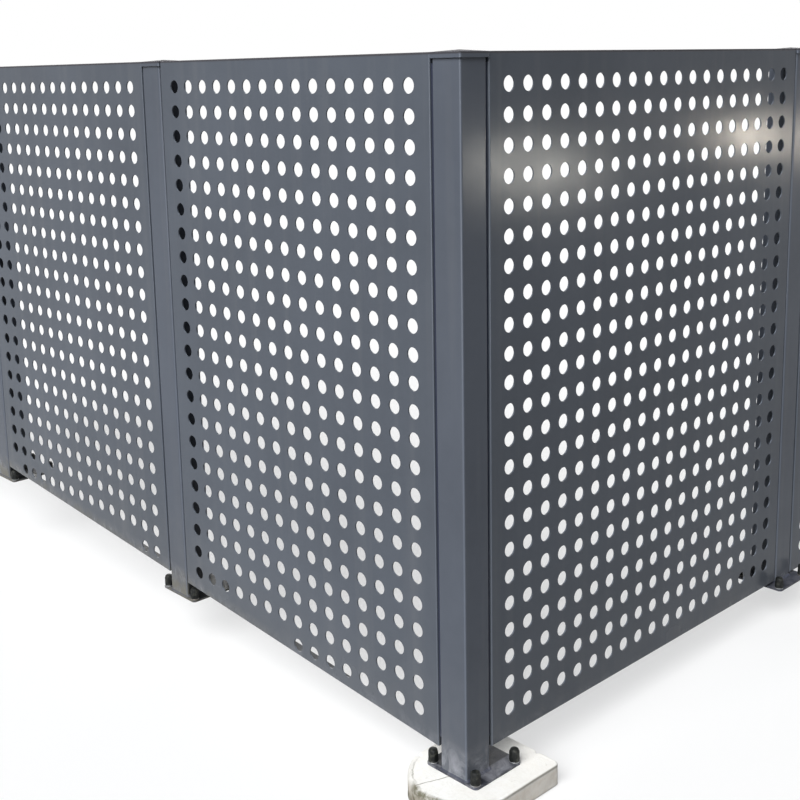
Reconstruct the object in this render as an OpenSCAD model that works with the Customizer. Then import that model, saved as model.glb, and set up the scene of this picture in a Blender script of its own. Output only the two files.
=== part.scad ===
// Fence corner of perforated cassette panels between square posts.
// The right run goes along +X and its bottom edge is level. The left run goes
// along +Y and its bottom edge and its posts' feet climb. All tops are level.
// Origin: underside of the footing pad, on the corner post's axis. +Z up.

/* [Main sizes] */
// Height of the panels' top edges over the corner post's foot
top_h = 1415; // [1150:1:1700]
// Post axis to post axis along a left bay
left_bay = 962; // [800:1:1200]
// Post axis to post axis along a right bay
right_bay = 1182; // [900:1:1400]
// How much each left bay's foot is higher than the one before
left_rise = 82; // [0:1:90]
// Height of the panels' bottom edge over the corner post's foot
foot_gap = 51; // [30:1:80]
// Gap between the right posts' base plates and the panels' bottom edge
right_clear = 5; // [2:1:15]

/* [Posts] */
// Width of a post's outer face, and depth of the square corner post
post_w = 70; // [60:1:100]
// Depth of the other posts, front to back
post_d = 75; // [60:1:100]
// Wall of the post tube
post_wall = 3; // [2:0.5:5]
// Outer corner radius of the post tube
post_r = 5; // [1:0.5:6]

/* [Post caps] */
// Height of the cap's side, rim to bottom
cap_h = 11; // [9:1:18]
// Thickness of the cap's top at the rim
cap_t = 3; // [2:0.5:4]
// How much the cap's pitched top rises to its middle
cap_pitch = 3.5; // [1:0.5:8]
// How far the cap stands proud of each post face
cap_over = 4; // [2:0.5:5]
// How far the cap's rim stands above the panels
cap_rise = 0; // [0:0.5:4]
// Gap between the cap's lip and the post
cap_fit = 0.1; // [0.05:0.05:0.3]
// Radius along the cap's top edges
cap_r = 2.5; // [1:0.5:3]

/* [Base plates] */
// Thickness of a base plate
plate_t = 5; // [4:1:12]
// Distance from a post face to the anchor line beside it
anchor_clear = 23; // [18:1:30]
// Distance from an anchor hole's centre to the plate's edge
anchor_edge = 11; // [10:1:20]
// Diameter of an anchor hole
anchor_d = 12; // [11:1:16]
// Corner radius of a base plate
plate_r = 9; // [2:1:12]
// How far the corner and left posts' plates are shifted behind the left run
plate_shift = 31; // [0:1:31]
// How far the corner post's plate is shifted behind the right run
plate_side = 6; // [0:1:20]

/* [Footing pad] */
// Thickness of the pale footing pad under the corner post
pad_h = 48; // [30:1:120]
// How far the pad reaches beyond the base plate along the right run
pad_along = 58; // [40:1:100]
// How far the pad's round end reaches beyond the base plate outside the left run
pad_out = 80; // [70:1:120]
// How far the pad reaches beyond the base plate across the right run
pad_across = 40; // [30:1:80]
// Radius of the pad's corners behind the left run
pad_r = 12; // [5:1:30]

/* [Panels] */
// Diameter of a hole
hole_d = 30; // [16:1:36]
// Spacing of the holes along the run
pitch_x = 55; // [48:1:70]
// Spacing of the holes up the panel
pitch_z = 56.5; // [48:0.5:64]
// Least distance from a hole's centre to the panel's upright edges
side_least = 45; // [32:1:60]
// Top row's centre to the panel's top edge
top_margin = 59; // [32:1:90]
// Least metal left between a hole and the panel's bottom edge
edge_clear = 9; // [6:0.5:20]
// Thickness of the panel's sheet
sheet_t = 3; // [2:0.5:4]
// Depth of the folded edges behind the sheet
fold_d = 30; // [28:1:40]
// Outer radius of the folded edges
bend_r = 3; // [1:0.5:4]

/* [Fixing strips] */
// Gap between a panel and a post, filled by the strip
gap = 6; // [5.5:0.5:8]
// Depth of a strip, front to back
strip_d = 18; // [10:1:19]
// How far the strip's front lies behind the faces
strip_recess = 5; // [4:1:8]
// Distance from a panel's ends to the strip's ends
strip_end = 20; // [20:1:60]

/* [Hidden] */
powder_coat = [0.25, 0.27, 0.30];
strip_coat = [0.10, 0.11, 0.12];
pale_stone = [0.86, 0.83, 0.76];
face = -post_w / 2;
level_z = pad_h;
top_z = level_z + top_h;
cap_z = top_z + cap_rise;
anchor_pitch = post_w + 2 * anchor_clear;
plate_w = anchor_pitch + 2 * anchor_edge;
pad_x0 = plate_shift - plate_w / 2 - pad_out;
pad_x1 = plate_shift + plate_w / 2 + pad_along;
pad_d = plate_w + 2 * plate_side + 2 * pad_across;
hole_rows = floor((top_h - top_margin - foot_gap - hole_d / 2 - edge_clear) / pitch_z) + 1;
left_slope = left_rise / left_bay;
right_lift = foot_gap - right_clear - plate_t;
round_fn = 48;
pad_fn = 96;
// How far a cutter runs past the face it opens.
past = 2;

// Width of a panel, and how many columns of holes fit across it.
function panel_w(bay) = bay - post_w - 2 * gap;
function hole_cols(bay) = floor((panel_w(bay) - 2 * side_least) / pitch_x) + 1;
// Distance along a run from the corner post's axis to panel n's first edge.
function panel_x(bay, n) = (n - 1) * bay + post_w / 2 + gap;
// Height of the bottom edge at distance x along a run of the given slope.
function edge_z(x, slope) = level_z + foot_gap + slope * (x - post_w / 2 - gap);

// Square with rounded corners, centred.
module round_square(w, d, r) {
    square([w - 2 * r, d], center = true);
    square([w, d - 2 * r], center = true);
    for (sx = [-1, 1], sy = [-1, 1])
        translate([sx * (w / 2 - r), sy * (d / 2 - r)])
            circle(r = r, $fn = round_fn);
}

// Drawing in the plane of a run, given depth from y0 to y1 behind it.
module upright(y0, y1) {
    translate([0, y1, 0])
        rotate([90, 0, 0])
            linear_extrude(y1 - y0)
                children();
}

// Everything of the left run is drawn along +X and turned over onto +Y.
module left_run() {
    mirror([1, -1, 0])
        children();
}

// The four anchor holes, drawn flat.
module anchor_holes() {
    for (sx = [-1, 1], sy = [-1, 1])
        translate([sx * anchor_pitch / 2, sy * anchor_pitch / 2])
            circle(d = anchor_d, $fn = round_fn);
}

module base_plate(rise) {
    color(powder_coat)
        translate([0, 0, level_z + rise])
            linear_extrude(plate_t)
                difference() {
                    round_square(plate_w, plate_w, plate_r);
                    anchor_holes();
                }
}

// A post of the given depth whose outer face lies in the run's face.
module post(rise, depth) {
    foot = level_z + rise + plate_t;
    color(powder_coat)
        translate([0, face + depth / 2, foot])
            linear_extrude(cap_z - cap_t - foot)
                difference() {
                    round_square(post_w, depth, post_r);
                    square([post_w - 2 * post_wall, depth - 2 * post_wall], center = true);
                }
}

// Prism along Y whose top, width across, rises from the rim to a ridge.
module pitched_top(width, length) {
    translate([0, length / 2, 0])
        rotate([90, 0, 0])
            linear_extrude(length)
                polygon([
                    [-width / 2, -cap_t],
                    [width / 2, -cap_t],
                    [width / 2, 0],
                    [width / 2 - cap_r, 0],
                    [0, cap_pitch],
                    [cap_r - width / 2, 0],
                    [-width / 2, 0]
                ]);
}

// Cap with a low top pitched to all four sides and a lip round the post.
module cap(depth) {
    w = post_w + 2 * cap_over;
    d = depth + 2 * cap_over;
    color(powder_coat)
        translate([0, face + depth / 2, cap_z])
            difference() {
                union() {
                    intersection() {
                        translate([0, 0, -cap_t])
                            linear_extrude(cap_t + cap_pitch)
                                round_square(w, d, post_r);
                        pitched_top(w, d);
                        rotate([0, 0, 90])
                            pitched_top(d, w);
                    }
                    translate([0, 0, -cap_h])
                        linear_extrude(cap_h - cap_t)
                            difference() {
                                round_square(w, d, post_r);
                                square([post_w + 2 * cap_fit, depth + 2 * cap_fit], center = true);
                            }
                }
                for (turned = [0, 1]) {
                    a = turned ? d : w;
                    b = turned ? w : d;
                    for (side = [0, 1])
                        rotate([0, 0, turned * 90 + side * 180])
                            translate([-a / 2, -b / 2, 0])
                                mirror([0, 0, 1])
                                    edge_cut(a, cap_r);
                }
            }
}

// Stone pad, half round at the end outside the left run.
module footing_pad() {
    round_x = pad_x0 + pad_d / 2;
    color(pale_stone)
        linear_extrude(pad_h)
            difference() {
                union() {
                    translate([round_x, 0])
                        circle(d = pad_d, $fn = pad_fn);
                    translate([round_x, -pad_d / 2])
                        square([pad_x1 - pad_r - round_x, pad_d]);
                    translate([round_x, pad_r - pad_d / 2])
                        square([pad_x1 - round_x, pad_d - 2 * pad_r]);
                    for (sy = [-1, 1])
                        translate([pad_x1 - pad_r, sy * (pad_d / 2 - pad_r)])
                            circle(r = pad_r, $fn = round_fn);
                }
                translate([plate_shift, plate_side])
                    anchor_holes();
            }
}

// Outline of panel n, drawn in by a border on every side.
module panel_outline(bay, n, slope, border) {
    x0 = panel_x(bay, n) + border;
    x1 = panel_x(bay, n) + panel_w(bay) - border;
    lift = border * sqrt(1 + slope * slope);
    polygon([
        [x0, edge_z(x0, slope) + lift],
        [x1, edge_z(x1, slope) + lift],
        [x1, top_z - border],
        [x0, top_z - border]
    ]);
}

// Rows and columns of holes; those too near a climbing edge are left out.
module panel_holes(bay, n, slope) {
    cols = hole_cols(bay);
    first = panel_x(bay, n) + (panel_w(bay) - (cols - 1) * pitch_x) / 2;
    for (row = [0 : hole_rows - 1], col = [0 : cols - 1]) {
        x = first + col * pitch_x;
        z = top_z - top_margin - row * pitch_z;
        if (z - hole_d / 2 - edge_clear >= edge_z(x, slope))
            translate([x, z])
                circle(d = hole_d, $fn = round_fn);
    }
}

// What rounding takes off a corner at the origin that fills +X and +Y.
module corner_cut(r) {
    difference() {
        translate([-past, -past])
            square(r + past);
        translate([r, r])
            circle(r = r, $fn = round_fn);
    }
}

// Rounds an edge that runs along +X, its metal lying toward +Y and +Z.
module edge_cut(length, r) {
    rotate([90, 0, 90])
        translate([0, 0, -past])
            linear_extrude(length + 2 * past)
                corner_cut(r);
}

// Cassette panel: perforated sheet with a folded edge all round the back.
module panel(bay, n, slope) {
    x0 = panel_x(bay, n);
    x1 = x0 + panel_w(bay);
    z0 = edge_z(x0, slope);
    z1 = edge_z(x1, slope);
    tilt = atan(slope);
    color(powder_coat)
        difference() {
            union() {
                upright(face, face + sheet_t)
                    difference() {
                        panel_outline(bay, n, slope, 0);
                        panel_holes(bay, n, slope);
                    }
                upright(face + sheet_t, face + fold_d)
                    difference() {
                        panel_outline(bay, n, slope, 0);
                        panel_outline(bay, n, slope, sheet_t);
                    }
            }
            translate([x0, face, z0])
                rotate([0, -tilt, 0])
                    edge_cut((x1 - x0) / cos(tilt), bend_r);
            translate([x0, face, top_z])
                mirror([0, 0, 1])
                    edge_cut(x1 - x0, bend_r);
            translate([x0, face, z0])
                mirror([1, 0, -1])
                    edge_cut(top_z - z0, bend_r);
            translate([x1, face, z1])
                mirror([1, 0, 0])
                    mirror([1, 0, -1])
                        edge_cut(top_z - z1, bend_r);
        }
}

// Strip between a post and panel n, at the panel's near (0) or far (1) edge.
module strip(bay, n, slope, far) {
    x0 = panel_x(bay, n) - gap + far * (panel_w(bay) + gap);
    z0 = edge_z(panel_x(bay, n) + far * panel_w(bay), slope) + strip_end;
    color(strip_coat)
        translate([x0, face + strip_recess, z0])
            cube([gap, strip_d, top_z - strip_end - z0]);
}

module corner_post() {
    post(0, post_w);
}

module corner_cap() {
    cap(post_w);
}

module corner_base_plate() {
    translate([plate_shift, plate_side, 0])
        base_plate(0);
}

module left_post(n) {
    left_run()
        translate([n * left_bay, 0, 0])
            post(n * left_rise, post_d);
}

module left_cap(n) {
    left_run()
        translate([n * left_bay, 0, 0])
            cap(post_d);
}

module left_base_plate(n) {
    left_run()
        translate([n * left_bay, plate_shift, 0])
            base_plate(n * left_rise);
}

module right_post(n) {
    translate([n * right_bay, 0, 0])
        post(right_lift, post_d);
}

module right_cap(n) {
    translate([n * right_bay, 0, 0])
        cap(post_d);
}

module right_base_plate(n) {
    translate([n * right_bay, 0, 0])
        base_plate(right_lift);
}

module left_panel(n) {
    left_run()
        panel(left_bay, n, left_slope);
}

module right_panel(n) {
    panel(right_bay, n, 0);
}

module left_strip(n, far) {
    left_run()
        strip(left_bay, n, left_slope, far);
}

module right_strip(n, far) {
    strip(right_bay, n, 0, far);
}

footing_pad();
corner_post();
corner_cap();
corner_base_plate();
left_post(1);  // left_post_1
left_post(2);  // left_post_2
left_post(3);  // left_post_3
left_cap(1);  // left_cap_1
left_cap(2);  // left_cap_2
left_cap(3);  // left_cap_3
left_base_plate(1);  // left_base_plate_1
left_base_plate(2);  // left_base_plate_2
left_base_plate(3);  // left_base_plate_3
right_post(1);  // right_post_1
right_post(2);  // right_post_2
right_post(3);  // right_post_3
right_cap(1);  // right_cap_1
right_cap(2);  // right_cap_2
right_cap(3);  // right_cap_3
right_base_plate(1);  // right_base_plate_1
right_base_plate(2);  // right_base_plate_2
right_base_plate(3);  // right_base_plate_3
left_panel(1);  // left_panel_1
left_panel(2);  // left_panel_2
left_panel(3);  // left_panel_3
right_panel(1);  // right_panel_1
right_panel(2);  // right_panel_2
right_panel(3);  // right_panel_3
left_strip(1, 0);  // left_strip_1a
left_strip(1, 1);  // left_strip_1b
left_strip(2, 0);  // left_strip_2a
left_strip(2, 1);  // left_strip_2b
left_strip(3, 0);  // left_strip_3a
left_strip(3, 1);  // left_strip_3b
right_strip(1, 0);  // right_strip_1a
right_strip(1, 1);  // right_strip_1b
right_strip(2, 0);  // right_strip_2a
right_strip(2, 1);  // right_strip_2b
right_strip(3, 0);  // right_strip_3a
right_strip(3, 1);  // right_strip_3b
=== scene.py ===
import math
import random

import bmesh
import bpy
from mathutils import Matrix, Vector, noise


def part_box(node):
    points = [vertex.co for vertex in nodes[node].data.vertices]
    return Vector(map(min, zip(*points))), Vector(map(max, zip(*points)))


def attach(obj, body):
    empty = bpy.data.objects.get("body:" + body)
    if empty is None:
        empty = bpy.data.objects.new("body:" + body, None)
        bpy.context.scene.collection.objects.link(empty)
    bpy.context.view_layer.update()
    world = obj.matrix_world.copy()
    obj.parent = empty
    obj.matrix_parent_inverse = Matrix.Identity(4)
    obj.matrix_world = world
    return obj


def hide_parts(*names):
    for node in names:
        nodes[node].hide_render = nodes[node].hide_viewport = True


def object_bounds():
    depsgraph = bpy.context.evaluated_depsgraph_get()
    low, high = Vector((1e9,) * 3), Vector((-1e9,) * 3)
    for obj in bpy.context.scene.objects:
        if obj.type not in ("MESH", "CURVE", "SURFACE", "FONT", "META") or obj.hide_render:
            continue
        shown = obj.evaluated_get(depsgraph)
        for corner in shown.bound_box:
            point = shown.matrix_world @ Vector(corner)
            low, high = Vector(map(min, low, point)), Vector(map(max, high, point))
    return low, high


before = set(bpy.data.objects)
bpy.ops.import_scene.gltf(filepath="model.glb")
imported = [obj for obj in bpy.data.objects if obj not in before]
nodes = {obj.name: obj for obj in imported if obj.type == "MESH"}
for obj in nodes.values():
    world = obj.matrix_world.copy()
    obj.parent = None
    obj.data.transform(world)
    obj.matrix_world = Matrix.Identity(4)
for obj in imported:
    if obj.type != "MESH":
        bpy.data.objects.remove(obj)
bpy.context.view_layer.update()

# Measures are in metres. The slope of the left run's feet, where the faces and the tops of
# all panels lie, and sizes of the posts' feet.
LEFT_RISE = 0.082 / 0.962
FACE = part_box("corner_post")[0][0]
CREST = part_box("left_panel_1")[1][2]
PAD_TOP = 0.048
ANCHOR_PITCH = 0.116
POST_RADIUS = 0.005
PAD_NEAR_RADIUS = 0.012


# ---------------------------------------------------------------- materials
class Graph:
    """A small helper that builds one procedural material."""

    def __init__(self, name):
        self.mat = bpy.data.materials.new(name)
        self.mat.use_nodes = True
        self.tree = self.mat.node_tree
        self.tree.nodes.clear()
        self.out = self.add("ShaderNodeOutputMaterial")
        self.shader = self.add("ShaderNodeBsdfPrincipled")
        self.link(self.shader.outputs[0], self.out.inputs["Surface"])
        self.place = self.add("ShaderNodeTexCoord").outputs["Object"]

    def add(self, kind, **props):
        n = self.tree.nodes.new(kind)
        for k, v in props.items():
            setattr(n, k, v)
        return n

    def link(self, a, b):
        self.tree.links.new(a, b)

    def noise(self, scale, detail=3.0, rough=0.5, stretch=(1, 1, 1), distort=0.0):
        m = self.add("ShaderNodeMapping")
        m.inputs["Scale"].default_value = stretch
        self.link(self.place, m.inputs["Vector"])
        n = self.add("ShaderNodeTexNoise")
        n.inputs["Scale"].default_value = scale
        n.inputs["Detail"].default_value = detail
        n.inputs["Roughness"].default_value = rough
        n.inputs["Distortion"].default_value = distort
        self.link(m.outputs[0], n.inputs["Vector"])
        return n.outputs["Fac"]

    def remap(self, v, a, b, lo, hi):
        """lo where v is a, hi where it is b, and clamped beyond."""
        n = self.add("ShaderNodeMapRange")
        n.clamp = True
        for i, x in zip((1, 2, 3, 4), (a, b, lo, hi)):
            n.inputs[i].default_value = x
        self.link(v, n.inputs[0])
        return n.outputs[0]

    def math(self, op, *values):
        """One operation, folded over the values from the left."""
        total = values[0]
        for value in values[1:]:
            n = self.add("ShaderNodeMath", operation=op)
            for i, x in enumerate((total, value)):
                if isinstance(x, (int, float)):
                    n.inputs[i].default_value = x
                else:
                    self.link(x, n.inputs[i])
            total = n.outputs[0]
        return total

    def times(self, *values):
        return self.math("MULTIPLY", *values)

    def plus(self, *values):
        return self.math("ADD", *values)

    def mix(self, fac, a, b):
        n = self.add("ShaderNodeMix", data_type="RGBA")
        for sock, x in ((n.inputs[0], fac), (n.inputs[6], a), (n.inputs[7], b)):
            if isinstance(x, (int, float)):
                sock.default_value = x
            elif isinstance(x, tuple):
                sock.default_value = x + (1.0,)
            else:
                self.link(x, sock)
        return n.outputs[2]

    def line(self, v, inner, outer, amount):
        """amount where v is within inner of nought, fading to 0 at outer."""
        n = self.add("ShaderNodeMath", operation="ABSOLUTE")
        self.link(v, n.inputs[0])
        return self.remap(n.outputs[0], inner, outer, amount, 0)

    def hidden(self, reach):
        """0 on open faces and up to 1 in recesses that are narrower than reach."""
        n = self.add("ShaderNodeAmbientOcclusion", samples=8)
        n.inputs["Distance"].default_value = reach
        return self.math("SUBTRACT", 1.0, n.outputs["AO"])

    def arris(self):
        """0 on faces square to the fence's axes, rising on rounded edges between them."""
        n = self.add("ShaderNodeNewGeometry")
        v = self.add("ShaderNodeVectorMath", operation="ABSOLUTE")
        self.link(n.outputs["Normal"], v.inputs[0])
        parts = self.add("ShaderNodeSeparateXYZ")
        self.link(v.outputs[0], parts.inputs[0])
        return self.math("SUBTRACT", 1.0, self.math("MAXIMUM", *parts.outputs))

    def along(self, direction):
        n = self.add("ShaderNodeVectorMath", operation="DOT_PRODUCT")
        n.inputs[1].default_value = direction
        self.link(self.place, n.inputs[0])
        return n.outputs["Value"]

    def depth(self):
        """How far a point lies behind the outer faces of both runs."""
        n = self.add("ShaderNodeSeparateXYZ")
        self.link(self.place, n.inputs[0])
        return self.math("SUBTRACT", self.math("MINIMUM", n.outputs["X"], n.outputs["Y"]), FACE)

    def bump(self, height, distance, strength=1.0, onto=None):
        n = self.add("ShaderNodeBump")
        n.inputs["Strength"].default_value = strength
        n.inputs["Distance"].default_value = distance
        self.link(height, n.inputs["Height"])
        if onto is not None:
            self.link(onto, n.inputs["Normal"])
        return n.outputs[0]

    def finish(self, colour, roughness, specular, normal):
        self.link(colour, self.shader.inputs["Base Color"])
        self.link(roughness, self.shader.inputs["Roughness"])
        self.shader.inputs["Specular IOR Level"].default_value = specular
        self.link(normal, self.shader.inputs["Normal"])
        return self.mat


def shade(colour, factor):
    return tuple(c * factor for c in colour)


STREAK = (0.194, 0.200, 0.209)
DUST = (0.241, 0.235, 0.218)
SPLASH = (0.353, 0.359, 0.394)
SOIL = (0.159, 0.153, 0.127)
# a dark line along the top edges
CREST_DARK = (0.047, 0.042, 0.045)
# painted shade for the recesses
RECESS_SHADE = (0.007, 0.008, 0.010)


def coat(name, base, rough, dusty=0.3, splash=0.7):
    """Satin powder coat with faint mottling and rain streaks, dust low down, splashes at the
    feet, a painted highlight on the rounded edges, a dark line along the top edges, and painted
    shade in the recesses behind the faces."""
    g = Graph(name)
    broad = g.noise(2.3, 4.0, 0.55)
    fine = g.noise(38.0, 3.0, 0.6)
    streak = g.noise(26.0, 3.0, 0.55, stretch=(1, 1, 0.045))
    speck = g.noise(240.0, 2.0, 0.5)
    # height over the line of the left run's feet
    height = g.along((0, -LEFT_RISE, 1))

    # mottling and streaks
    col = g.mix(g.remap(broad, 0.32, 0.68, 0, 1), shade(base, 0.90), shade(base, 1.10))
    col = g.mix(g.remap(fine, 0.35, 0.70, 0, 0.16), col, shade(base, 1.25))
    col = g.mix(g.remap(streak, 0.52, 0.78, 0, 0.18), col, STREAK)

    # dust in patches low down, and in spots all the way up
    low = g.math("POWER", g.remap(height, 0.06, 0.42, 1, 0), 2.2)
    patchy = g.remap(g.noise(9.0, 5.0, 0.62), 0.30, 0.72, 0.25, 1.0)
    spots = g.times(g.remap(speck, 0.70, 0.80, 0, 0.30), g.remap(height, 0.1, 1.2, 1, 0.25))
    dust = g.math("MAXIMUM", g.times(low, patchy, dusty), g.times(spots, dusty))
    col = g.mix(dust, col, DUST)

    # splashes at the feet
    blot = g.noise(24.0, 6.0, 0.68, stretch=(1, 1, 0.7), distort=0.6)
    near_foot = g.remap(g.plus(height, g.times(broad, 0.06)), 0.085, 0.155, 1, 0)
    splashes = g.times(g.remap(blot, 0.43, 0.64, 0, 1), near_foot, splash)
    col = g.mix(splashes, col, SPLASH)

    # soil has stuck to the feet of the climbing run
    soil = g.times(g.remap(g.plus(height, g.times(patchy, 0.05)), 0.105, 0.150, 0.85, 0),
                   g.remap(g.along((0, 1, 0)), 0.45, 0.80, 0, 1),
                   g.remap(fine, 0.34, 0.56, 0.2, 1))
    col = g.mix(soil, col, SOIL)

    # painted highlight on the rounded edges, as a lighter coat; and a dark line along the top ones
    col = g.mix(g.remap(g.arris(), 0.04, 0.20, 0, 0.50), col, shade(base, 2.0))
    crest = g.remap(g.along((0, 0, 1)), CREST - 0.0055, CREST - 0.0025, 0, 0.85)
    col = g.mix(crest, col, CREST_DARK)

    # painted shade in the recesses, darker where ambient occlusion finds them
    recess_shade = g.times(g.remap(g.hidden(0.12), 0.15, 0.42, 0, 0.92),
                     g.remap(g.depth(), 0.0048, 0.0085, 0, 1))
    col = g.mix(recess_shade, col, RECESS_SHADE)

    satin = g.remap(g.noise(5.0, 4.0, 0.6), 0.3, 0.7, rough - 0.03, rough + 0.05)
    dust_splash_crest = g.math("MAXIMUM", dust, splashes, crest)
    satin = g.math("MINIMUM", g.plus(satin, g.times(dust_splash_crest, 0.60)), 0.95)
    wave = g.bump(g.noise(3.1, 2.0, 0.4), 0.004, 0.30)
    peel = g.bump(g.noise(700.0, 2.0, 0.5), 0.0002, 0.25, wave)
    return g.finish(col, satin, 0.1, peel)


def cast_stone(name):
    """Near-white cast stone: beige sides with painted shade, painted shade under the front edge,
    moss and soil over the round end, one hairline crack.
    """
    g = Graph(name)
    broad = g.noise(7.0, 5.0, 0.6, distort=0.4)
    grain = g.noise(160.0, 4.0, 0.65)
    pit = g.noise(75.0, 3.0, 0.7)
    wander = g.noise(30.0, 5.0, 0.7)
    blotch = g.noise(34.0, 4.0, 0.65)
    height = g.along((0, 0, 1))
    outward = g.along((-1, 0, 0))

    # pale top, and beige sides darkened with painted shade
    col = g.mix(g.remap(broad, 0.30, 0.70, 0, 1), (0.96, 0.96, 0.94), (0.92, 0.90, 0.85))
    col = g.mix(g.remap(grain, 0.45, 0.72, 0, 0.22), col, (0.72, 0.68, 0.60))
    shaded_beige = g.mix(g.remap(blotch, 0.42, 0.62, 0, 1), (0.96, 0.91, 0.83), (0.86, 0.79, 0.70))
    side = g.times(g.remap(height, 0.034, 0.044, 1, 0), g.remap(broad, 0.3, 0.7, 0.7, 1.0))
    col = g.mix(side, col, shaded_beige)

    # painted shade under the front edge, away from the round end
    lip_shade = g.times(g.remap(height, 0.0385, 0.0425, 0, 1),
                  g.remap(height, 0.0440, 0.0465, 1, 0),
                  g.remap(g.along((0.75, -1, 0)), 0.055, 0.100, 0, 0.75),
                  g.remap(broad, 0.35, 0.55, 0.4, 1.0))
    col = g.mix(lip_shade, col, (0.22, 0.20, 0.16))

    # ring: distance from the middle of the round end's top, made to wander
    off = g.add("ShaderNodeVectorMath", operation="DISTANCE")
    off.inputs[1].default_value = (-0.003, 0.0, PAD_TOP)
    g.link(g.place, off.inputs[0])
    ring = g.plus(off.outputs["Value"], g.times(wander, 0.018))
    round_end = g.remap(outward, 0.02, 0.07, 0, 1)
    front = g.remap(g.along((-0.4, -1, 0)), -0.032, 0.010, 0, 1)

    # moss over the rim and the lower part of the round end, and pits
    rim = g.times(g.remap(ring, 0.1115, 0.1190, 0, 1), round_end, g.math("MAXIMUM", front, 0.30))
    below = g.times(g.remap(height, 0.010, 0.046, 1, 0), round_end)
    growth = g.remap(g.noise(55.0, 5.0, 0.75), 0.30, 0.58, 0.45, 1)
    moss = g.times(g.math("MAXIMUM", rim, below), growth, 0.92)
    col = g.mix(moss, col, (0.095, 0.088, 0.042))
    col = g.mix(g.remap(pit, 0.68, 0.78, 0, 0.45), col, (0.40, 0.37, 0.30))

    # hairline crack across the round end, and a dark line along the rim at its back
    across = g.plus(g.along((0.36, 0.93, 0)), 0.0015, g.times(wander, 0.006))
    crack = g.times(g.line(across, 0.0006, 0.0015, 0.8), g.remap(outward, 0.030, 0.040, 0, 1))
    col = g.mix(crack, col, (0.20, 0.18, 0.14))
    rim_line = g.times(g.line(g.math("SUBTRACT", ring, 0.1125), 0.0006, 0.0022, 0.55),
                   round_end, g.math("SUBTRACT", 1.0, front))
    col = g.mix(rim_line, col, (0.24, 0.22, 0.17))

    rough = g.bump(grain, 0.0006, 0.6, g.bump(pit, 0.002, 0.45))
    return g.finish(col, g.remap(grain, 0.3, 0.7, 0.80, 0.96), 0.25, rough)


def polymer(name, base, rough):
    """Moulded plastic, mottled and a little dusty."""
    g = Graph(name)
    paler = tuple(c * 1.8 + 0.002 for c in base)
    col = g.mix(g.remap(g.noise(60.0, 4.0, 0.6), 0.35, 0.7, 0, 1), base, paler)
    dust = g.remap(g.noise(120.0, 4.0, 0.6), 0.52, 0.70, 0, 0.40)
    col = g.mix(dust, col, (0.105, 0.105, 0.085))
    satin = g.remap(g.noise(90.0, 3.0, 0.6), 0.3, 0.7, rough, rough + 0.2)
    return g.finish(col, satin, 0.15, g.bump(g.noise(500.0, 2.0, 0.5), 0.0002, 0.4))


def zinc(name):
    """Spangled zinc with brown stains."""
    g = Graph(name)
    v = g.add("ShaderNodeTexVoronoi")
    v.inputs["Scale"].default_value = 140.0
    g.link(g.place, v.inputs["Vector"])
    spangle = g.remap(v.outputs["Distance"], 0.1, 0.7, 0, 1)
    col = g.mix(spangle, (0.22, 0.23, 0.24), (0.36, 0.37, 0.38))
    stain = g.remap(g.noise(55.0, 4.0, 0.65), 0.50, 0.66, 0, 0.7)
    col = g.mix(stain, col, (0.17, 0.13, 0.10))
    g.shader.inputs["Metallic"].default_value = 0.85
    satin = g.remap(g.noise(110.0, 3.0, 0.6), 0.3, 0.7, 0.38, 0.62)
    return g.finish(col, satin, 0.5, g.bump(g.noise(260.0, 3.0, 0.6), 0.0003, 0.5))


POST = coat("post_coat", (0.095, 0.108, 0.134), 0.16, splash=0.9)
PANEL = coat("panel_coat", (0.093, 0.106, 0.129), 0.16)
# the plate's coat is the post's coat about three times darker: painted shade on the lit plate
SHADED_PLATE = coat("plate_coat_shaded", (0.031, 0.035, 0.052), 0.36, dusty=0.14, splash=0.50)
# a dark strip coat: painted shade in the grooves beside the corner post
GROOVE_SHADE_STRIP = coat("strip_coat", (0.035, 0.041, 0.066), 0.45, dusty=0.15)
STONE = cast_stone("cast_stone")
BLACK = polymer("black_cover", (0.007, 0.008, 0.008), 0.42)
ZINC = zinc("zinc_washer")


def material_of(name):
    if name == "footing_pad":
        return STONE
    # only the strips beside the corner post are dark: painted shade in those grooves
    if name.endswith("strip_1a"):
        return GROOVE_SHADE_STRIP
    if "base_plate" in name:
        return SHADED_PLATE
    return PANEL if "panel" in name else POST


for node_name, node in nodes.items():
    node.data.materials.clear()
    node.data.materials.append(material_of(node_name))


# ---------------------------------------------------------------- small parts
def mesh_piece(name, bm, mat, smooth_degrees):
    bmesh.ops.recalc_face_normals(bm, faces=bm.faces)
    me = bpy.data.meshes.new(name)
    bm.to_mesh(me)
    bm.free()
    me.shade_smooth()
    me.set_sharp_from_angle(angle=math.radians(smooth_degrees))
    me.materials.append(mat)
    o = bpy.data.objects.new(name, me)
    bpy.context.scene.collection.objects.link(o)
    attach(o, "root")
    return o


def skin(bm, rings):
    """Faces between each closed ring of vertices and the next."""
    for a, b in zip(rings, rings[1:]):
        for k in range(len(a)):
            j = (k + 1) % len(a)
            bm.faces.new((a[k], a[j], b[j], b[k]))


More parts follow.
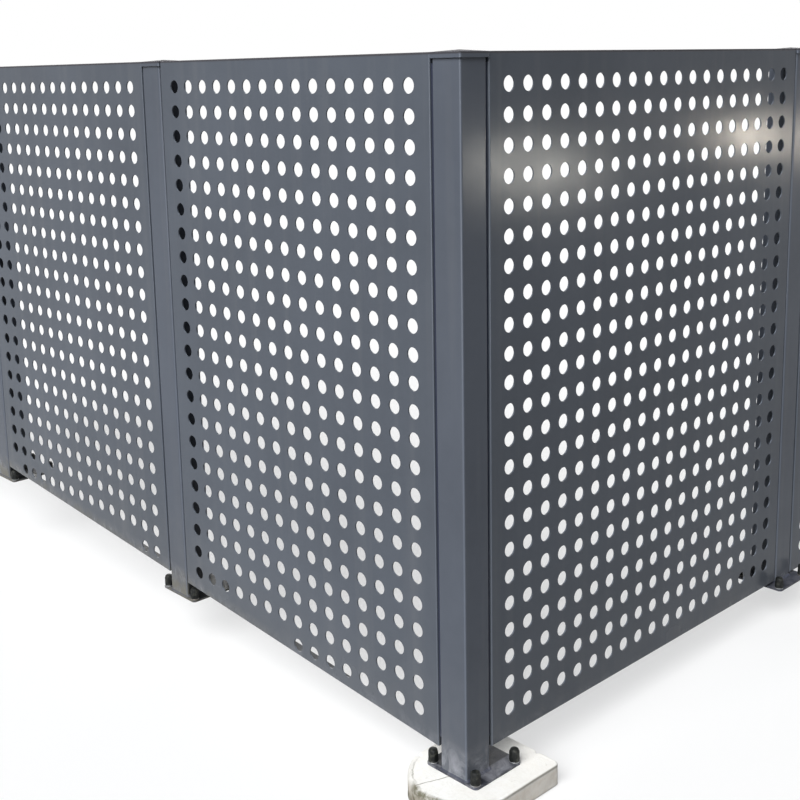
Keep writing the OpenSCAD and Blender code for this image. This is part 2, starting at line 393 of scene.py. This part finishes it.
def lathe(bm, profile, sides, at, turn=0.0, six=()):
    """Turns a closed profile of (radius, z) round the upright axis through at.
    Rings whose index is in six are six-sided: their radius is half the width across flats."""
    most_over_flats = 1.11
    rings = []
    for i, (r, z) in enumerate(profile):
        ring = []
        for k in range(sides):
            a = 2 * math.pi * k / sides
            rr = r
            if i in six:
                off = (a + math.pi / 6) % (math.pi / 3) - math.pi / 6
                rr = min(r / math.cos(off), r * most_over_flats)
            x, y = rr * math.cos(a + turn), rr * math.sin(a + turn)
            ring.append(bm.verts.new((at[0] + x, at[1] + y, at[2] + z)))
        rings.append(ring)
    skin(bm, rings)
    bm.faces.new(rings[0][::-1])
    bm.faces.new(rings[-1])


WASHER_PROFILE = [(0.0104, 0.0), (0.0106, 0.0004), (0.0106, 0.0016), (0.0102, 0.0020),
                  (0.0060, 0.0020)]
# flange, six flats, domed top
COVER_PROFILE = [(0.0100, 0.0020), (0.0103, 0.0023), (0.0103, 0.0040), (0.0100, 0.0044),
                 (0.0098, 0.0050), (0.0096, 0.0120), (0.0095, 0.0230), (0.0092, 0.0252),
                 (0.0084, 0.0272), (0.0068, 0.0286), (0.0042, 0.0293), (0.0015, 0.0294)]
COVER_FLATS = (4, 5, 6)


def anchor(bm_cover, bm_washer, at, turn):
    """A washer, and over the nut and stud a six-sided cover with a flange and a domed top."""
    lathe(bm_washer, WASHER_PROFILE, 36, at, turn)
    lathe(bm_cover, COVER_PROFILE, 48, at, turn, six=COVER_FLATS)


def post_outline(lo, hi):
    """Points (x, y) on a post's outline with the direction (dx, dy) away from it, from the
    corner at +X, -Y on round the post. Each point is the centre of the outline's radius."""
    n_side, n_corner = 60, 8
    cx, cy = (lo[0] + hi[0]) / 2, (lo[1] + hi[1]) / 2
    hx, hy = (hi[0] - lo[0]) / 2 - POST_RADIUS, (hi[1] - lo[1]) / 2 - POST_RADIUS
    corners = [(1, -1), (1, 1), (-1, 1), (-1, -1)]
    for i, (sx, sy) in enumerate(corners):
        start = 90 * (i - 1)
        x, y = cx + sx * hx, cy + sy * hy
        for k in range(n_corner + 1):
            a = math.radians(start + 90 * k / n_corner)
            yield x, y, math.cos(a), math.sin(a)
        nx, ny = corners[(i + 1) % 4]
        ex, ey = cx + nx * hx, cy + ny * hy
        a = math.radians(start + 90)
        for k in range(1, n_side):
            t = k / n_side
            yield x + (ex - x) * t, y + (ey - y) * t, math.cos(a), math.sin(a)


def weld(name, lo, hi, z, room):
    """Fillet weld round the foot of a post with the box lo, hi, with the ripples of a hand-run
    bead. It is no wider than the room that the plate leaves beside the post's outer face."""
    widest_leg, sunk = 0.0053, -0.0004
    rng = random.Random(name)
    bm = bmesh.new()
    rings = []
    run = rng.random() * 9
    for x, y, dx, dy in post_outline(lo, hi):
        run += 0.55 + rng.random() * 0.08
        leg = 0.0042 + 0.0007 * math.sin(run * 2.1) + 0.0004 * rng.random()
        if dx < -0.2:
            leg *= min(1.0, room / widest_leg)
        section = [(sunk, 0.0), (leg, 0.0), (leg * 0.78, leg * 0.34),
                   (leg * 0.46, leg * 0.66), (leg * 0.14, leg * 1.02), (sunk, leg * 1.05)]
        rings.append([bm.verts.new((x + dx * (POST_RADIUS + u), y + dy * (POST_RADIUS + u), z + v))
                      for u, v in section])
    skin(bm, rings + rings[:1])
    return mesh_piece(name, bm, SHADED_PLATE, 60)


def node_of(post, kind):
    side, _, n = post.partition("_")
    return "corner_" + kind if post == "corner" else "%s_%s_%s" % (side, kind, n)


def dress_foot(post):
    """Anchors, covers and the weld on one post's base plate."""
    lo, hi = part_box(node_of(post, "base_plate"))
    cx, cy, top = (lo[0] + hi[0]) / 2, (lo[1] + hi[1]) / 2, hi[2]
    covers, washers = bmesh.new(), bmesh.new()
    rng = random.Random(post)
    for sx in (-1, 1):
        for sy in (-1, 1):
            at = (cx + sx * ANCHOR_PITCH / 2, cy + sy * ANCHOR_PITCH / 2, top)
            anchor(covers, washers, at, rng.uniform(0, math.pi / 3))
    mesh_piece("anchor_covers_" + post, covers, BLACK, 35)
    mesh_piece("anchor_washers_" + post, washers, ZINC, 35)
    plo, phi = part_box(node_of(post, "post"))
    weld("foot_weld_" + post, plo, phi, top, plo[0] - lo[0])


dress_foot("corner")
for side in ("left", "right"):
    for n in (1, 2, 3):
        dress_foot("%s_%d" % (side, n))


def pad_outline(x0, y0, x1, y1):
    """Points on the footing pad's outline with their outward normals: (x, y, nx, ny)."""
    far, near = (y1 - y0) / 2, PAD_NEAR_RADIUS
    cy = (y0 + y1) / 2
    step = 0.0035
    loop = []

    def arc(px, py, r, a0, a1, n):
        for k in range(n + 1):
            a = math.radians(a0 + (a1 - a0) * k / n)
            loop.append((px + r * math.cos(a), py + r * math.sin(a), math.cos(a), math.sin(a)))

    def run(ax, ay, bx, by, nx, ny):
        n = int(math.hypot(bx - ax, by - ay) / step)
        for k in range(1, n):
            t = k / n
            loop.append((ax + (bx - ax) * t, ay + (by - ay) * t, nx, ny))

    arc(x0 + far, cy, far, 90, 270, 100)
    run(x0 + far, y0, x1 - near, y0, 0, -1)
    arc(x1 - near, y0 + near, near, 270, 360, 8)
    run(x1, y0 + near, x1, y1 - near, 1, 0)
    arc(x1 - near, y1 - near, near, 0, 90, 8)
    run(x1 - near, y1, x0 + far, y1, 0, 1)
    return loop


def worn_pad():
    """The footing pad as cast stone: half round at one end, with rounded, chipped edges and
    uneven faces."""
    lo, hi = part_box("footing_pad")
    x0, y0, x1, y1, top = lo[0], lo[1], hi[0], hi[1], hi[2]
    mx, cy = (x0 + x1) / 2, (y0 + y1) / 2
    loop = pad_outline(x0, y0, x1, y1)
    # rows up the side: inset, height, share of the wear, and whether the first two are
    # shares of the edge's radius, counted from the top
    rows = [(0.0014, 0.0, 0.3, False), (0.0, 0.0016, 0.5, False)]
    rows += [(0.0, z, 1.0, False) for z in (0.006, 0.011, 0.016, 0.021, 0.026, 0.031, 0.035)]
    rows += [(1 - math.cos(a), math.sin(a) - 1, 1.0, True)
             for a in (0.0, 0.3, 0.6, 0.85, 1.1, 1.35, 1.57)]
    chip_seed = Vector((7.7, 0, 0))
    bm = bmesh.new()
    rings = []
    for u, v, amount, edge_row in rows:
        ring = []
        for px, py, nx, ny in loop:
            # the edge is rounder at the outer end
            worn = max(0.0, -nx) * max(0.0, min(1.0, (x0 + 0.08 - px) / 0.06))
            radius = 0.0045 + 0.005 * worn
            inset, z = (u * radius, top + v * radius) if edge_row else (u, v)
            q = Vector((px, py, z))
            dent = (0.0006 * (0.5 + 0.5 * noise.noise(q * 55))
                    + 0.0010 * (0.5 + 0.5 * noise.noise(q * 17)))
            near_edge = max(0.0, 1 - abs(z - top + 0.002) / 0.013)
            flake = noise.noise(Vector((px, py, z * 0.5)) * 42 + chip_seed) - 0.27
            chip = max(0.0, flake) * 0.020 * near_edge
            d = inset + (dent + chip) * amount
            ring.append(bm.verts.new((px - nx * d, py - ny * d, max(0.0, z - chip * 0.5))))
        rings.append(ring)
    # rings across the top, towards the middle
    last = [v.co.copy() for v in rings[-1]]
    for t in (0.975, 0.95, 0.92, 0.885, 0.85, 0.80, 0.75, 0.69, 0.62, 0.54, 0.45, 0.35, 0.24, 0.12):
        ring = []
        for c in last:
            x, y = mx + (c.x - mx) * t, cy + (c.y - cy) * t
            uneven = 0.0007 * (0.5 + 0.5 * noise.noise(Vector((x, y, 0)) * 38))
            sink = uneven * min(1.0, (t - 0.1) * 2)
            ring.append(bm.verts.new((x, y, top - max(sink, 0.00005))))
        rings.append(ring)
    skin(bm, rings)
    bm.faces.new(rings[0][::-1])
    bm.faces.new(rings[-1])
    o = mesh_piece("worn_footing_pad", bm, STONE, 50)
    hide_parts("footing_pad")


worn_pad()


# ---------------------------------------------------------------- stage, light, camera
def seen(tree):
    """1 for rays that show the stage to the eye, straight or by reflection, and 0 for the
    rays that light the object."""
    path = tree.nodes.new("ShaderNodeLightPath")
    total = path.outputs["Is Camera Ray"]
    for ray in ("Is Glossy Ray", "Is Transmission Ray"):
        n = tree.nodes.new("ShaderNodeMath")
        n.operation = "MAXIMUM"
        tree.links.new(total, n.inputs[0])
        tree.links.new(path.outputs[ray], n.inputs[1])
        total = n.outputs[0]
    return total


def stage_floor():
    """Pale floor that looks near white to the camera and still keeps the shadow."""
    g = Graph("pale_floor")
    eye = seen(g.tree)
    g.link(g.mix(eye, (0.16, 0.16, 0.16), (0.93, 0.93, 0.93)), g.shader.inputs["Base Color"])
    g.shader.inputs["Roughness"].default_value = 1.0
    g.shader.inputs["Specular IOR Level"].default_value = 0.0
    glow = g.add("ShaderNodeEmission")
    glow.inputs["Strength"].default_value = 1.0
    both = g.add("ShaderNodeMixShader")
    g.link(g.times(eye, 0.5), both.inputs[0])
    g.link(g.shader.outputs[0], both.inputs[1])
    g.link(glow.outputs[0], both.inputs[2])
    g.link(both.outputs[0], g.out.inputs["Surface"])
    bm = bmesh.new()
    bmesh.ops.create_grid(bm, x_segments=2, y_segments=2, size=60.0)
    me = bpy.data.meshes.new("floor")
    bm.to_mesh(me)
    bm.free()
    me.materials.append(g.mat)
    o = bpy.data.objects.new("floor", me)
    o.location = (0, 0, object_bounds()[0][2] - 0.0005)
    bpy.context.scene.collection.objects.link(o)


def studio():
    """A white surround for the eye, and a soft sky for the light."""
    world = bpy.data.worlds.new("studio")
    world.use_nodes = True
    bpy.context.scene.world = world
    tree = world.node_tree
    tree.nodes.clear()
    out = tree.nodes.new("ShaderNodeOutputWorld")
    both = tree.nodes.new("ShaderNodeMixShader")
    tree.links.new(seen(tree), both.inputs[0])
    sky, white = ((0.93, 0.96, 1.0, 1), 0.24), ((1, 1, 1, 1), 1.0)
    for i, (colour, strength) in enumerate((sky, white)):
        n = tree.nodes.new("ShaderNodeBackground")
        n.inputs["Color"].default_value = colour
        n.inputs["Strength"].default_value = strength
        tree.links.new(n.outputs[0], both.inputs[1 + i])
    tree.links.new(both.outputs[0], out.inputs["Surface"])


def sun(name, toward, strength, angle):
    d = bpy.data.lights.new(name, "SUN")
    d.energy = strength
    d.angle = math.radians(angle)
    o = bpy.data.objects.new(name, d)
    o.rotation_euler = Vector(toward).to_track_quat("Z", "Y").to_euler()
    bpy.context.scene.collection.objects.link(o)


def sheen_card(name, at, aim, size, radiance, colour=(1, 1, 1)):
    """A soft card that only shows as a sheen on glossy faces."""
    d = bpy.data.lights.new(name, "AREA")
    d.shape = "RECTANGLE"
    d.size, d.size_y = size
    d.energy = radiance * math.pi * size[0] * size[1]
    d.color = colour
    o = bpy.data.objects.new(name, d)
    o.location = at
    o.rotation_euler = (Vector(at) - Vector(aim)).to_track_quat("Z", "Y").to_euler()
    o.visible_camera = False
    o.visible_diffuse = False
    bpy.context.scene.collection.objects.link(o)


def camera(lens, shift, at, right, down, ahead):
    cam = bpy.data.cameras.new("camera")
    cam.sensor_width = 36.0
    cam.lens = lens
    cam.shift_x, cam.shift_y = shift
    cam.clip_start = 0.05
    cam.clip_end = 200.0
    o = bpy.data.objects.new("camera", cam)
    rows = [(r, -d, -a, p) for r, d, a, p in zip(right, down, ahead, at)]
    o.matrix_world = Matrix(rows + [(0, 0, 0, 1)])
    bpy.context.scene.collection.objects.link(o)
    bpy.context.scene.camera = o


stage_floor()
studio()
sun("key", (-0.74, -0.20, 0.64), 4.04, 45)
sun("back_fill", (0.66, 0.70, 0.26), 1.3, 50)
WARM = (1.0, 0.96, 0.86)
sheen_card("edge_card", (-2.6, -2.6, 0.9), (0, 0, 0.8), (2.4, 1.8), 7.0)
sheen_card("warm_card", (3.02, -2.5, 0.95), (0.1, 0, 1.2), (0.52, 0.15), 31.0, WARM)
sheen_card("spot_card", (3.14, -2.5, 0.865), (0.1, 0, 1.2), (0.36, 0.035), 60.0, WARM)
sheen_card("far_card", (5.30, -2.5, 0.97), (1.0, 0, 1.2), (0.28, 0.06), 160.0, (1.0, 0.90, 0.76))
camera(lens=54.2812, shift=(0.01609, -0.13126),
       at=(-1.603028, -1.516060, 1.434432),
       right=(0.72831682, -0.68493992, -0.02029571),
       down=(-0.1406724, -0.12046235, -0.98270041),
       ahead=(0.67064587, 0.71857228, -0.1840869))
bpy.context.scene.view_settings.view_transform = "Standard"
